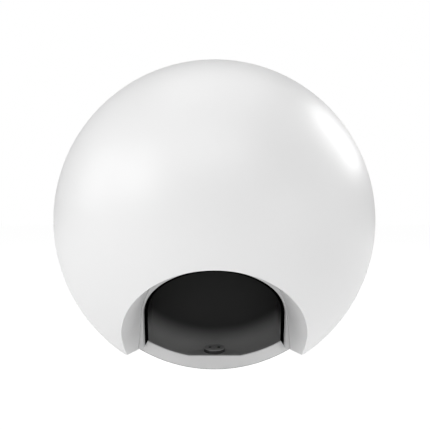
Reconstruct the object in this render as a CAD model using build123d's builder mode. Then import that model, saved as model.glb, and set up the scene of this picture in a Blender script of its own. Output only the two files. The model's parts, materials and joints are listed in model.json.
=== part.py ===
"""Ball-shaped smart speaker, 120 mm across, with a service bay low on one side.

The ball stands on a flat foot. +Z is up, the bay opens towards -Y, the driver plays towards +Y.
The origin is on the table, straight below the centre of the ball. Sizes are in millimetres and,
unless a name says otherwise, are measured from the centre of the ball.
"""
import os

from build123d import *

# ---------------------------------------------------------------- driving dimensions
ball_r = 60.0          # outside of the white ball
ball_z = 61.0          # height of its centre above the table
wall = 3.0             # moulded wall of both half shells
inside_r = ball_r - wall
seam_y = 1.8           # plane where the two half shells meet
gap = 0.2              # fitting gap between pieces fixed to each other
clear = 0.3            # running gap round pieces that move

bay_half = 28.6        # arch of the bay: half its width where its legs begin
bay_z = -38.6          # height where they begin
bay_rise = 25.6        # rise of the half ellipse above them
bay_flare = 0.09       # the legs spread by this much for each millimetre down
bay_wall = 2.3         # lining wall round the bay
bezel_front = -4.0     # window bezel inside the bay
bezel_back = -0.8
seal_front = -0.6      # black seal behind the bezel
seal_back = 1.6
seal_inset = 1.0       # seal shows this much inside the window
window_half = 27.9     # half width of the bezel's window
window_z = -36.6       # its top is half an ellipse from this height
window_rise = 17.3
window_lean = 0.03     # its sides lean in by this much for each millimetre down
heel_rear = (-26.7, -45.1)   # the rear shell's two heels are cut flat through these points (y, z)
heel_front = (1.8, -51.6)
leg_cut_x = 27.4       # the bezel's legs end on a slant that passes this point
leg_cut_z = -49.5
leg_slope = 1.7

lip_r = 55.5           # inside of the front shell's rim
lip_flat = -54.5       # flat step across that rim
lip_depth = 1.5

tray_half = 27.3       # inside of the black tray behind the window
tray_r = 55.2          # its floor follows the ball
tray_floor = -54.2     # and is flat in the middle
tray_back = 15.3
tray_round = 10.8      # large round between floor and back
tray_top = -15.2
tray_wall = 1.2
tray_rim = 1.9
tray_step = 3.5        # the floor starts behind the front shell's rim

puck_r = 4.3           # power contact puck on the tray's floor
puck_y = 7.1
puck_top = -52.7
contact_pitch = 3.7
contact_r = 0.65

foot_r = 20.0          # front arc of the lens-shaped foot
foot_y = 26.0
foot_back_r = 34.0     # its rear arc follows the ball
foot_t = 2.0
plinth_bottom = foot_t - ball_z
plinth_wall = 2.4
base_t = 1.8

grille_r = 30.0        # field of sound holes in the front shell
hole_r = 1.1
hole_pitch = 4.4

frame_r = 55.2
frame_back = 6.0
frame_front = 8.5
post_r = 3.2
shell_post_q = 49.0    # the frame is screwed to four posts of the front shell
shell_post_angles = (55, 125, 205, 335)
hook_angles = (0, 35, 145, 180, 222, 318)

box_r = 34.0           # sealed chamber behind the driver
box_back = 18.0
box_wall = 2.0
lid_back = 39.4
lid_front = 41.8

flange_front = 44.0    # driver
flange_back = 42.4
flange_r = 29.0
landing_r = 24.4
cone_r = 19.6
coil_in = 7.6
coil_out = 8.1
pole_r = coil_in - clear
plate_hole_r = coil_out + clear
plate_r = 15.0
magnet_r = 16.0
yoke_back = 22.0
yoke_t = 3.0
magnet_t = 5.0
plate_t = 3.0
spider_y = 36.4

top_r = 23.0           # round opening at the top of the ball
panel_r = 20.0
panel_shell_r = 57.8
button_ring = 11.0
button_r = 4.2
button_proud = 0.3
button_travel = 0.5
collar_bottom = 55.5
flange_top = 55.3
flange_bottom = 54.2
board_top = 50.6
board_bottom = 49.0
carrier_bottom = 46.5
carrier_r = 22.7
ring_bottom = 52.8

main_front = -20.0     # main board
main_back = -21.6
main_half = 32.0
main_low = -8.0
main_high = 38.0

centre = Vector(0, 0, ball_z)
axis_y = Axis(centre, (0, 1, 0))
side = Plane(origin=centre, x_dir=(0, 1, 0), z_dir=(1, 0, 0))
middle = Plane(origin=centre, x_dir=(1, 0, 0), z_dir=(0, -1, 0))
level = Plane(origin=centre)

os.makedirs("parts", exist_ok=True)


def across(y):
    """Vertical plane at this Y, facing -Y; its local axes are X and Z."""
    return middle.offset(-y)


def at_height(z):
    """Horizontal plane at this height; its local axes are X and Y."""
    return level.offset(z)


def rod_y(radius, y_from, y_to, x=0.0, z=0.0, mode=Mode.ADD):
    """Round bar along Y."""
    with Locations(Location(centre + Vector(x, (y_from + y_to) / 2, z), (90, 0, 0))):
        Cylinder(radius, y_to - y_from, mode=mode)


def rod_z(radius, z_from, z_to, x=0.0, y=0.0, mode=Mode.ADD):
    """Round bar along Z."""
    with Locations(centre + Vector(x, y, (z_from + z_to) / 2)):
        Cylinder(radius, z_to - z_from, mode=mode)


def block(x_span, y_span, z_span, mode=Mode.ADD):
    """Block between two X, two Y and two Z positions."""
    spot = Vector(sum(x_span) / 2, sum(y_span) / 2, sum(z_span) / 2)
    with Locations(centre + spot):
        Box(x_span[1] - x_span[0], y_span[1] - y_span[0], z_span[1] - z_span[0], mode=mode)


def radial_block(angle, r_span, y_span, half, mode=Mode.ADD):
    """Block on a radius from the Y axis, at this angle above +X."""
    spot = Location((sum(r_span) / 2, sum(y_span) / 2, 0))
    with Locations(Location(centre, (0, -angle, 0)) * spot):
        Box(r_span[1] - r_span[0], y_span[1] - y_span[0], 2 * half, mode=mode)


def around_y(radius, angles):
    """Points (x, z) on a circle round the Y axis."""
    return [(Vector(radius, 0).rotate(Axis.Z, a).X, Vector(radius, 0).rotate(Axis.Z, a).Y) for a in angles]


# ---------------------------------------------------------------- shared outlines
def arch_outline(half, rise, spring_z, flare):
    """Half an ellipse over two legs that spread, or lean in, and run down past the ball."""
    low_z = spring_z - ball_r
    low_half = half + flare * ball_r
    with BuildSketch(mode=Mode.PRIVATE) as arch:
        with BuildLine():
            EllipticalCenterArc((0, spring_z), half, rise, 0, arc_size=180)
            Polyline((-half, spring_z), (-low_half, low_z), (low_half, low_z), (half, spring_z))
        make_face()
    return arch.sketch


def bay_outline(grow):
    """Arch of the bay, grown by this much."""
    return arch_outline(bay_half + grow, bay_rise + grow, bay_z, bay_flare)


def window_outline(inset):
    """Opening in the bezel, made smaller by this much."""
    return arch_outline(window_half - inset, window_rise - inset, window_z, -window_lean)


def slant_outline(sign):
    """What is cut from the foot of one leg of the bezel."""
    reach = bay_wall
    low = leg_cut_z - leg_slope * reach
    with BuildSketch(mode=Mode.PRIVATE) as wedge:
        with BuildLine():
            Polyline(
                (sign * (leg_cut_x - reach), leg_cut_z + leg_slope * reach),
                (sign * (leg_cut_x + reach), low),
                (sign * (leg_cut_x + reach), -ball_r - reach),
                (sign * (leg_cut_x - reach), -ball_r - reach),
                close=True,
            )
        make_face()
    return wedge.sketch


def heel_outline(raise_by):
    """What is cut from under the heels of the arch, seen from the side (y, z), raised by this much."""
    slope = (heel_front[1] - heel_rear[1]) / (heel_front[0] - heel_rear[0])
    rear_z = heel_rear[1] - slope * (heel_rear[0] + ball_r) + raise_by
    with BuildSketch(mode=Mode.PRIVATE) as wedge:
        with BuildLine():
            Polyline(
                (-ball_r, rear_z),
                (heel_front[0], heel_front[1] + raise_by),
                (heel_front[0], -2 * ball_r),
                (-ball_r, -2 * ball_r),
                close=True,
            )
        make_face()
    return wedge.sketch


def foot_outline(inset):
    """Lens between the foot's front arc and the arc that follows the ball."""
    with BuildSketch(mode=Mode.PRIVATE) as lens:
        with Locations((0, foot_y)):
            Circle(foot_r - inset)
        Circle(foot_back_r - inset, mode=Mode.INTERSECT)
        fillet(lens.vertices(), 4 - inset / 2)
    return lens.sketch


# ---------------------------------------------------------------- rear half shell, holds the bay
hook_root = -17.0
hook_tip = 5.4
hook_low = 53.9
hook_high = 55.2
hook_barb = 56.0
hook_half = 4.0

with BuildPart() as rear_shell:
    with Locations(centre):
        Sphere(ball_r)
        Sphere(inside_r, mode=Mode.SUBTRACT)
    with BuildSketch(across(seam_y)):
        add(bay_outline(bay_wall))
    extrude(amount=ball_r + seam_y)
    with Locations(centre):
        Sphere(ball_r, mode=Mode.INTERSECT)
    block((-ball_r, ball_r), (seam_y, ball_r + 1), (-ball_r, ball_r), mode=Mode.SUBTRACT)
    with BuildSketch(across(seam_y)):
        add(bay_outline(0))
    extrude(amount=2 * ball_r, mode=Mode.SUBTRACT)
    rod_z(top_r, 0, ball_r + 1, mode=Mode.SUBTRACT)
    with BuildSketch(side):
        add(heel_outline(0))
    extrude(amount=ball_r, both=True, mode=Mode.SUBTRACT)
    for angle in hook_angles:
        radial_block(angle, (hook_low, hook_high), (hook_root, hook_tip), hook_half)
        radial_block(angle, (hook_high, hook_barb), (seam_y + lip_depth + gap, hook_tip), hook_half)
rear_shell.part.label = "rear_shell"
export_step(rear_shell.part, "parts/rear_shell.step")

# ---------------------------------------------------------------- front half shell
post_root = 35.0
pilot_r = 1.1
pilot_end = 19.0
hole_field = HexLocations(hole_pitch / 2, 15, 15).local_locations
hole_spots = [spot.position for spot in hole_field if spot.position.length < grille_r]

with BuildPart(mode=Mode.PRIVATE) as front_posts:
    for x, z in around_y(shell_post_q, shell_post_angles):
        rod_y(post_r, frame_front, post_root, x, z)
    with Locations(centre):
        Sphere(inside_r + wall / 2, mode=Mode.INTERSECT)

plinth_top = -44.0

with BuildPart(mode=Mode.PRIVATE) as plinth:
    with BuildSketch(at_height(plinth_bottom)):
        add(foot_outline(0))
        add(foot_outline(plinth_wall), mode=Mode.SUBTRACT)
    extrude(amount=plinth_top - plinth_bottom)
    with Locations(centre):
        Sphere(inside_r + wall / 2, mode=Mode.SUBTRACT)

with BuildPart() as front_shell:
    # half ball with the rim that shows as the pale lip of the bay
    with BuildSketch(side):
        Circle(ball_r)
        Circle(inside_r, mode=Mode.SUBTRACT)
        with Locations((seam_y, lip_r)):
            Rectangle(lip_depth, wall, align=Align.MIN)
        with Locations((seam_y, 0)):
            Rectangle(2 * ball_r, 2 * ball_r, align=Align.MIN, mode=Mode.INTERSECT)
    revolve(axis=axis_y)
    with BuildSketch(across(seam_y)):
        with Locations((0, lip_flat - wall / 2)):
            Rectangle(window_half, wall)
        Circle(inside_r + wall / 2, mode=Mode.INTERSECT)
    extrude(amount=-lip_depth)
    # plinth under the ball, open to the base plate
    with BuildSketch(at_height(plinth_bottom)):
        add(foot_outline(plinth_wall))
    extrude(amount=plinth_top - plinth_bottom, mode=Mode.SUBTRACT)
    add(plinth.part)
    # posts for the frame
    add(front_posts.part)
    for x, z in around_y(shell_post_q, shell_post_angles):
        rod_y(pilot_r, frame_front, pilot_end, x, z, mode=Mode.SUBTRACT)
    rod_z(top_r, 0, ball_r + 1, mode=Mode.SUBTRACT)
    # sound holes
    with BuildSketch(across(ball_r + 1)):
        with Locations(hole_spots):
            Circle(hole_r)
    extrude(amount=ball_r - flange_front, mode=Mode.SUBTRACT)
front_shell.part.label = "front_shell"
export_step(front_shell.part, "parts/front_shell.step")

# ---------------------------------------------------------------- cloth behind the sound holes
cloth_r = 31.5
cloth_t = 0.4
with BuildPart() as acoustic_cloth:
    with Locations(centre):
        Sphere(inside_r - gap / 2)
        Sphere(inside_r - gap / 2 - cloth_t, mode=Mode.SUBTRACT)
    rod_y(cloth_r, 0, ball_r, mode=Mode.INTERSECT)
acoustic_cloth.part.label = "acoustic_cloth"
export_step(acoustic_cloth.part, "parts/acoustic_cloth.step")

# ---------------------------------------------------------------- window bezel, seal and tray of the bay
with BuildPart() as bay_bezel:
    with BuildSketch(across(bezel_back)):
        add(bay_outline(-gap / 2))
        add(window_outline(0), mode=Mode.SUBTRACT)
    extrude(amount=bezel_back - bezel_front)
    with BuildSketch(across(bezel_back)):
        add(slant_outline(1))
        add(slant_outline(-1))
    extrude(amount=bezel_back - bezel_front, mode=Mode.SUBTRACT)
    with BuildSketch(side):
        add(heel_outline(clear))
    extrude(amount=ball_r, both=True, mode=Mode.SUBTRACT)
    with Locations(centre):
        Sphere(ball_r - clear, mode=Mode.INTERSECT)
bay_bezel.part.label = "bay_bezel"
export_step(bay_bezel.part, "parts/bay_bezel.step")

with BuildPart() as bay_seal:
    with BuildSketch(across(seal_back)):
        add(bay_outline(-gap / 2))
        add(window_outline(seal_inset), mode=Mode.SUBTRACT)
    extrude(amount=seal_back - seal_front)
    with BuildSketch(across(seal_back)):
        add(slant_outline(1))
        add(slant_outline(-1))
    extrude(amount=seal_back - seal_front, mode=Mode.SUBTRACT)
    with BuildSketch(side):
        add(heel_outline(clear))
    extrude(amount=ball_r, both=True, mode=Mode.SUBTRACT)
    with Locations(centre):
        Sphere(ball_r - clear, mode=Mode.INTERSECT)
bay_seal.part.label = "bay_seal"
export_step(bay_seal.part, "parts/bay_seal.step")


def tray_block(grow):
    """Inside of the tray, grown by its wall."""
    round_r = tray_round + grow
    floor_q = tray_r + grow
    back = tray_back + grow
    with BuildPart(mode=Mode.PRIVATE) as body:
        with BuildSketch(side):
            with BuildLine():
                Line((0, 0), (back, 0))
                Line((back, 0), (back, floor_q - round_r))
                JernArc((back, floor_q - round_r), (0, 1), round_r, 90)
                Line((back - round_r, floor_q), (0, floor_q))
                Line((0, floor_q), (0, 0))
            make_face()
        revolve(axis=axis_y)
        half = tray_half + grow
        block((-half, half), (tray_rim - grow, ball_r), (tray_floor - grow, tray_top + grow),
              mode=Mode.INTERSECT)
    return body.part


with BuildPart() as bay_tray:
    add(tray_block(tray_wall))
    add(tray_block(0), mode=Mode.SUBTRACT)
    block((-ball_r, ball_r), (0, tray_rim), (-ball_r, ball_r), mode=Mode.SUBTRACT)
    with BuildSketch(across(0)):
        Circle(ball_r)
        Circle(lip_r - gap, mode=Mode.SUBTRACT)
        with Locations((0, lip_flat + gap - wall)):
            Rectangle(window_half + wall, 2 * wall)
    extrude(amount=-tray_step, mode=Mode.SUBTRACT)
    rod_z(contact_r + gap / 2, -ball_r, 0, -contact_pitch / 2, puck_y, mode=Mode.SUBTRACT)
    rod_z(contact_r + gap / 2, -ball_r, 0, contact_pitch / 2, puck_y, mode=Mode.SUBTRACT)
bay_tray.part.label = "bay_tray"
export_step(bay_tray.part, "parts/bay_tray.step")

# ---------------------------------------------------------------- power contacts on the tray's floor
pin_foot = -56.0
pin_proud = 0.25
with BuildPart() as contact_puck:
    rod_z(puck_r, tray_floor, puck_top, 0, puck_y)
    fillet(contact_puck.edges().filter_by(GeomType.CIRCLE).group_by(Axis.Z)[-1], gap)
    rod_z(contact_r, tray_floor, puck_top, -contact_pitch / 2, puck_y, mode=Mode.SUBTRACT)
    rod_z(contact_r, tray_floor, puck_top, contact_pitch / 2, puck_y, mode=Mode.SUBTRACT)
    add(bay_tray.part, mode=Mode.SUBTRACT)
contact_puck.part.label = "contact_puck"
export_step(contact_puck.part, "parts/contact_puck.step")

with BuildPart() as contact_pins:
    rod_z(contact_r, pin_foot, puck_top + pin_proud, -contact_pitch / 2, puck_y)
    rod_z(contact_r, pin_foot, puck_top + pin_proud, contact_pitch / 2, puck_y)
    fillet(contact_pins.edges().filter_by(GeomType.CIRCLE).group_by(Axis.Z)[-1], gap)
contact_pins.part.label = "contact_pins"
export_step(contact_pins.part, "parts/contact_pins.step")

flex_half = 3.2
flex_t = 0.2
with BuildPart() as contact_flex:
    block((-flex_half, flex_half), (puck_y - 3.4, puck_y + 2.4), (pin_foot - flex_t, pin_foot))
contact_flex.part.label = "contact_flex"
export_step(contact_flex.part, "parts/contact_flex.step")

# ---------------------------------------------------------------- frame between the two halves
notch_half = 29.0
notch_top = -13.4
top_cut = 45.6
top_cut_half = 24.0
rib_hole_r = 7.0
lead_hole_r = 3.5
board_posts = ((-28.0, -3.5), (28.0, -3.5), (-27.0, 33.0), (27.0, 33.0))
box_posts = ((-23.0, 16.0), (23.0, 16.0), (-24.0, -9.0), (24.0, -9.0))
screw_r = 1.1
speaker_hole = (0.0, 6.0)
power_notch = (4.0, -11.5)

with BuildPart() as inner_frame:
    rod_y(frame_r, frame_back, frame_front)
    block((-notch_half, notch_half), (0, ball_r), (-ball_r, notch_top), mode=Mode.SUBTRACT)
    block((-top_cut_half, top_cut_half), (0, ball_r), (top_cut, ball_r), mode=Mode.SUBTRACT)
    for x, z in board_posts:
        rod_y(post_r, main_front, frame_back, x, z)
        rod_y(screw_r, main_front, main_front + 9, x, z, mode=Mode.SUBTRACT)
    for x, z in box_posts:
        rod_y(post_r + 1, frame_front, box_back, x, z)
        rod_y(screw_r + gap, frame_back, box_back, x, z, mode=Mode.SUBTRACT)
    for x, z in around_y(shell_post_q, shell_post_angles):
        rod_y(screw_r + gap, frame_back, frame_front, x, z, mode=Mode.SUBTRACT)
    for x, z in around_y(rib_hole_r * 6, (10, 170)):
        rod_y(rib_hole_r, frame_back, frame_front, x, z, mode=Mode.SUBTRACT)
    rod_y(rib_hole_r, frame_back, frame_front, 0, 30, mode=Mode.SUBTRACT)
    rod_y(lead_hole_r, frame_back, frame_front, speaker_hole[0], speaker_hole[1], mode=Mode.SUBTRACT)
    rod_y(lead_hole_r, frame_back, frame_front, power_notch[0], power_notch[1], mode=Mode.SUBTRACT)
inner_frame.part.label = "inner_frame"
export_step(inner_frame.part, "parts/inner_frame.step")

head_r = 2.1
head_t = 1.3


def screw_y(x, z, head_face, tip):
    """Pan-head screw along +Y: the head stands off its face, the shank runs on to the tip."""
    rod_y(head_r, head_face - head_t, head_face, x, z)
    rod_y(screw_r - gap / 2, head_face, tip, x, z)


with BuildPart() as frame_screws:
    for x, z in around_y(shell_post_q, shell_post_angles):
        screw_y(x, z, frame_back, frame_back + 11)
frame_screws.part.label = "frame_screws"
export_step(frame_screws.part, "parts/frame_screws.step")

with BuildPart() as box_screws:
    for x, z in box_posts:
        screw_y(x, z, frame_back, box_back + 5)
box_screws.part.label = "box_screws"
export_step(box_screws.part, "parts/box_screws.step")

# ---------------------------------------------------------------- sealed chamber behind the driver
with BuildPart() as speaker_box:
    rod_y(box_r, box_back, lid_back)
    rod_y(box_r - box_wall, box_back + box_wall, lid_back, mode=Mode.SUBTRACT)
    for x, z in box_posts:
        rod_y(post_r, box_back + box_wall, box_back + 7, x, z)
        rod_y(screw_r, box_back, box_back + 6, x, z, mode=Mode.SUBTRACT)
speaker_box.part.label = "speaker_box"
export_step(speaker_box.part, "parts/speaker_box.step")

opening_r = 26.0
boss_depth = 4.0
driver_screw_r = 0.77
driver_screw_q = 27.4
driver_screw_angles = (45, 135, 225, 315)
with BuildPart() as box_lid:
    rod_y(box_r, lid_back, lid_front)
    for x, z in around_y(driver_screw_q + 1, driver_screw_angles):
        rod_y(post_r, lid_back - boss_depth, lid_front, x, z)
    rod_y(opening_r, lid_back - boss_depth, lid_front, mode=Mode.SUBTRACT)
    for x, z in around_y(driver_screw_q, driver_screw_angles):
        rod_y(driver_screw_r, lid_back - boss_depth + 1, lid_front, x, z, mode=Mode.SUBTRACT)
box_lid.part.label = "box_lid"
export_step(box_lid.part, "parts/box_lid.step")

with BuildPart() as driver_gasket:
    rod_y(flange_r, lid_front, flange_back)
    rod_y(opening_r, lid_front, flange_back, mode=Mode.SUBTRACT)
    for x, z in around_y(driver_screw_q, driver_screw_angles):
        rod_y(screw_r, lid_front, flange_back, x, z, mode=Mode.SUBTRACT)
driver_gasket.part.label = "driver_gasket"
export_step(driver_gasket.part, "parts/driver_gasket.step")

# ---------------------------------------------------------------- driver
yoke_front = yoke_back + yoke_t
plate_back = yoke_front + magnet_t
plate_front = plate_back + plate_t
cone_t = 0.5
cone_front = 43.0
surround_y = cone_front + cone_t - 0.2
basket_t = 1.2
basket_hub_front = plate_front + basket_t
basket_q = 17.0
basket_window_angles = (0, 60, 120, 180, 240, 300)
basket_window_r = 3.2

with BuildPart() as driver_basket:
    with BuildSketch(side):
        with BuildLine():
            Polyline(
                (plate_front, plate_hole_r + 1),
                (basket_hub_front, plate_hole_r + 1),
                (basket_hub_front, basket_q - basket_t),
                (flange_back + gap, landing_r - basket_t),
                (surround_y, landing_r - basket_t),
                (surround_y, opening_r - gap),
                (flange_front, opening_r - gap),
                (flange_front, flange_r),
                (flange_back, flange_r),
                (flange_back, landing_r),
                (plate_front, basket_q),
                close=True,
            )
        make_face()
    revolve(axis=axis_y)
    outward = Location((0, (plate_front + flange_back) / 2, 0), (0, 90, 0))
    for angle in basket_window_angles:
        with Locations(Location(centre, (0, -angle, 0)) * outward * Location((0, 0, flange_r))):
            Cylinder(basket_window_r, 2 * flange_r, mode=Mode.SUBTRACT)
    for x, z in around_y(driver_screw_q, driver_screw_angles):
        rod_y(driver_screw_r + gap, flange_back, flange_front, x, z, mode=Mode.SUBTRACT)
driver_basket.part.label = "driver_basket"
export_step(driver_basket.part, "parts/driver_basket.step")

driver_head_r = 1.4
driver_head_t = 0.9
with BuildPart() as driver_screws:
    for x, z in around_y(driver_screw_q, driver_screw_angles):
        rod_y(driver_head_r, flange_front, flange_front + driver_head_t, x, z)
        rod_y(driver_screw_r - gap / 2, lid_back - 2, flange_front, x, z)
driver_screws.part.label = "driver_screws"
export_step(driver_screws.part, "parts/driver_screws.step")

with BuildPart() as magnet_yoke:
    rod_y(plate_r, yoke_back, yoke_front)
    rod_y(pole_r, yoke_front, plate_front)
magnet_yoke.part.label = "magnet_yoke"
export_step(magnet_yoke.part, "parts/magnet_yoke.step")

with BuildPart() as magnet:
    rod_y(magnet_r, yoke_front, plate_back)
    rod_y(plate_hole_r + 1.5, yoke_front, plate_back, mode=Mode.SUBTRACT)
magnet.part.label = "magnet"
export_step(magnet.part, "parts/magnet.step")

with BuildPart() as top_plate:
    rod_y(plate_r, plate_back, plate_front)
    rod_y(plate_hole_r, plate_back, plate_front, mode=Mode.SUBTRACT)
top_plate.part.label = "top_plate"
export_step(top_plate.part, "parts/top_plate.step")

coil_back = 28.6
coil_front = 38.0
with BuildPart() as voice_coil:
    rod_y(coil_out, coil_back, coil_front)
    rod_y(coil_in, coil_back, coil_front, mode=Mode.SUBTRACT)
voice_coil.part.label = "voice_coil"
export_step(voice_coil.part, "parts/voice_coil.step")

spider_t = 0.4
spider_out = 17.3
with BuildPart() as spider:
    with BuildSketch(side):
        with BuildLine():
            Polyline(
                (spider_y, coil_out + 0.05),
                (spider_y + 0.8, coil_out + 2),
                (spider_y - 0.8, coil_out + 4),
                (spider_y + 0.8, coil_out + 6),
                (spider_y, coil_out + 8),
                (spider_y, spider_out),
                (spider_y + spider_t, spider_out),
                (spider_y + spider_t, coil_out + 8),
                (spider_y + 0.8 + spider_t, coil_out + 6),
                (spider_y - 0.8 + spider_t, coil_out + 4),
                (spider_y + 0.8 + spider_t, coil_out + 2),
                (spider_y + spider_t, coil_out + 0.05),
                close=True,
            )
        make_face()
    revolve(axis=axis_y)
spider.part.label = "spider"
export_step(spider.part, "parts/spider.step")

neck_r = coil_out + 0.05
with BuildPart() as cone:
    with BuildSketch(side):
        with BuildLine():
            Polyline(
                (coil_front - 0.8, neck_r),
                (coil_front - 0.8, neck_r + cone_t),
                (coil_front + 0.2, neck_r + cone_t + 0.4),
                (cone_front - 0.2, cone_r - 1.6),
                (cone_front - 0.2, cone_r),
                (cone_front + cone_t - 0.2, cone_r),
                (cone_front + cone_t - 0.2, cone_r - 1.8),
                (coil_front + 0.8, neck_r + 0.2),
                (coil_front + 0.2, neck_r),
                close=True,
            )
        make_face()
    revolve(axis=axis_y)
cone.part.label = "cone"
export_step(cone.part, "parts/cone.step")

cap_sphere_r = 14.0
cap_half = 9.6
cap_y = 39.4
with BuildPart() as dust_cap:
    with Locations(centre + Vector(0, cap_y - (cap_sphere_r**2 - cap_half**2) ** 0.5, 0)):
        Sphere(cap_sphere_r)
        Sphere(cap_sphere_r - cone_t, mode=Mode.SUBTRACT)
    block((-ball_r, ball_r), (cap_y, ball_r), (-ball_r, ball_r), mode=Mode.INTERSECT)
dust_cap.part.label = "dust_cap"
export_step(dust_cap.part, "parts/dust_cap.step")

roll_r = 1.9
with BuildPart() as surround:
    with BuildSketch(side):
        with Locations((surround_y, cone_r + roll_r)):
            Circle(roll_r)
            Circle(roll_r - cone_t, mode=Mode.SUBTRACT)
            with Locations((-roll_r, 0)):
                Rectangle(2 * roll_r, 4 * roll_r, mode=Mode.SUBTRACT)
        with Locations((surround_y + cone_t / 2, cone_r - 0.6)):
            Rectangle(cone_t, 1.6)
        with Locations((surround_y + cone_t / 2, cone_r + 2 * roll_r + 0.7)):
            Rectangle(cone_t, 1.8)
    revolve(axis=axis_y)
surround.part.label = "surround"
export_step(surround.part, "parts/surround.step")

# ---------------------------------------------------------------- main board
with BuildPart() as main_board:
    block((-main_half, main_half), (main_back, main_front), (main_low, main_high))
    for x, z in board_posts:
        rod_y(screw_r + gap, main_back, main_front, x, z, mode=Mode.SUBTRACT)
main_board.part.label = "main_board"
export_step(main_board.part, "parts/main_board.step")

with BuildPart() as board_screws:
    for x, z in board_posts:
        screw_y(x, z, main_back, main_front + 6)
board_screws.part.label = "board_screws"
export_step(board_screws.part, "parts/board_screws.step")

can_t = 2.4
can_wall = 0.3
can_x = (-14.0, 12.0)
can_z = (8.0, 32.0)
with BuildPart() as shield_can:
    block(can_x, (main_back - can_t, main_back), can_z)
    inner_x = (can_x[0] + can_wall, can_x[1] - can_wall)
    inner_z = (can_z[0] + can_wall, can_z[1] - can_wall)
    block(inner_x, (main_back - can_t + can_wall, main_back), inner_z, mode=Mode.SUBTRACT)
shield_can.part.label = "shield_can"
export_step(shield_can.part, "parts/shield_can.step")

chip_t = 1.2
processor_x = (-7.0, 5.0)
processor_z = (14.0, 26.0)
with BuildPart() as processor:
    block(processor_x, (main_back - chip_t, main_back), processor_z)
processor.part.label = "processor"
export_step(processor.part, "parts/processor.step")

pad_inset = 2.0
with BuildPart() as thermal_pad:
    pad_x = (processor_x[0] + pad_inset, processor_x[1] - pad_inset)
    pad_z = (processor_z[0] + pad_inset, processor_z[1] - pad_inset)
    block(pad_x, (main_back - can_t + can_wall, main_back - chip_t), pad_z)
thermal_pad.part.label = "thermal_pad"
export_step(thermal_pad.part, "parts/thermal_pad.step")

amplifier_x = (16.0, 23.0)
amplifier_z = (4.0, 11.0)
with BuildPart() as amplifier_chip:
    block(amplifier_x, (main_back - chip_t, main_back), amplifier_z)
amplifier_chip.part.label = "amplifier_chip"
export_step(amplifier_chip.part, "parts/amplifier_chip.step")

inductor_side = 4.5
inductor_t = 3.0
inductor_z = (14.0, 14.0 + inductor_side)
with BuildPart() as inductors:
    for x in (15.5, 22.0):
        block((x, x + inductor_side), (main_back - inductor_t, main_back), inductor_z)
    fillet(inductors.edges().filter_by(Axis.Y), 1)
inductors.part.label = "inductors"
export_step(inductors.part, "parts/inductors.step")

can_cap_r = 3.0
can_cap_t = 6.0
with BuildPart() as capacitors:
    for z in (8, 16):
        rod_y(can_cap_r, main_back - can_cap_t, main_back, -24, z)
    fillet(capacitors.edges().filter_by(GeomType.CIRCLE).group_by(Axis.Y)[0], gap)
capacitors.part.label = "capacitors"
export_step(capacitors.part, "parts/capacitors.step")

socket_t = 2.5
socket_high = 36.5
plug_t = 4.0
plug_front = main_front + plug_t
with BuildPart() as board_connectors:
    block((-6, 6), (main_front, main_front + socket_t), (33, socket_high))
    block((-4, 4), (main_front, plug_front), (3, 9))
    block((0, 8), (main_front, plug_front), (-7, -2))
board_connectors.part.label = "board_connectors"
export_step(board_connectors.part, "parts/board_connectors.step")

with BuildPart() as antenna:
    block((-46, -34), (frame_back - 0.4, frame_back), (20, 24))
antenna.part.label = "antenna"
export_step(antenna.part, "parts/antenna.step")

# ---------------------------------------------------------------- controls at the top of the ball
ring_spots = ((button_ring, 0.0), (0.0, button_ring), (-button_ring, 0.0), (0.0, -button_ring))
button_names = ("volume_up", "action", "volume_down", "mic_mute")
mic_ring = 15.6
mic_spots = around_y(mic_ring, (45, 135, 225, 315))
led_ring = 19.9
led_count = 12
carrier_wall = 1.5
skirt_in = 17.6
skirt_out = 18.8
hole_gap_r = button_r + clear

with BuildPart() as top_carrier:
    rod_z(carrier_r, carrier_bottom, ring_bottom)
    rod_z(carrier_r - carrier_wall, carrier_bottom + carrier_wall, ring_bottom, mode=Mode.SUBTRACT)
    with Locations(centre):
        Sphere(inside_r - gap, mode=Mode.INTERSECT)
    with Locations(centre + Vector(0, 0, (carrier_bottom + carrier_wall + board_bottom) / 2)):
        with PolarLocations(led_ring - 3, 3, start_angle=45):
            Cylinder(1.6, board_bottom - carrier_bottom - carrier_wall)
    block((-7, 7), (-16, -12), (carrier_bottom, board_bottom), mode=Mode.SUBTRACT)
    # foot that stands on the frame
    block((-20, 20), (frame_back, frame_front), (top_cut, carrier_bottom))
top_carrier.part.label = "top_carrier"
export_step(top_carrier.part, "parts/top_carrier.step")

with BuildPart() as top_board:
    rod_z(carrier_r - carrier_wall - gap, board_bottom, board_top)
    for x, y in ring_spots:
        rod_z(0.4, board_bottom, board_top, x + 1.5, y, mode=Mode.SUBTRACT)
top_board.part.label = "top_board"
export_step(top_board.part, "parts/top_board.step")

with BuildPart() as light_ring:
    with Locations(centre):
        Sphere(ball_r - gap / 2)
    rod_z(top_r - gap, ring_bottom, ball_r, mode=Mode.INTERSECT)
    rod_z(panel_r + gap / 2, ring_bottom, ball_r, mode=Mode.SUBTRACT)
light_ring.part.label = "light_ring"
export_step(light_ring.part, "parts/light_ring.step")

with BuildPart() as button_panel:
    with Locations(centre):
        Sphere(ball_r)
        Sphere(panel_shell_r, mode=Mode.SUBTRACT)
    rod_z(panel_r, board_top, ball_r, mode=Mode.INTERSECT)
    for x, y in ring_spots:
        rod_z(button_r + 1.8, collar_bottom, panel_shell_r - 1, x, y)
    rod_z(skirt_out, board_top, collar_bottom + 1)
    rod_z(skirt_in, board_top, collar_bottom, mode=Mode.SUBTRACT)
    for x, y in ring_spots:
        rod_z(hole_gap_r, board_top, ball_r + 1, x, y, mode=Mode.SUBTRACT)
    for x, y in mic_spots:
        rod_z(0.6, board_top, ball_r, x, y, mode=Mode.SUBTRACT)
button_panel.part.label = "button_panel"
export_step(button_panel.part, "parts/button_panel.step")


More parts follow.
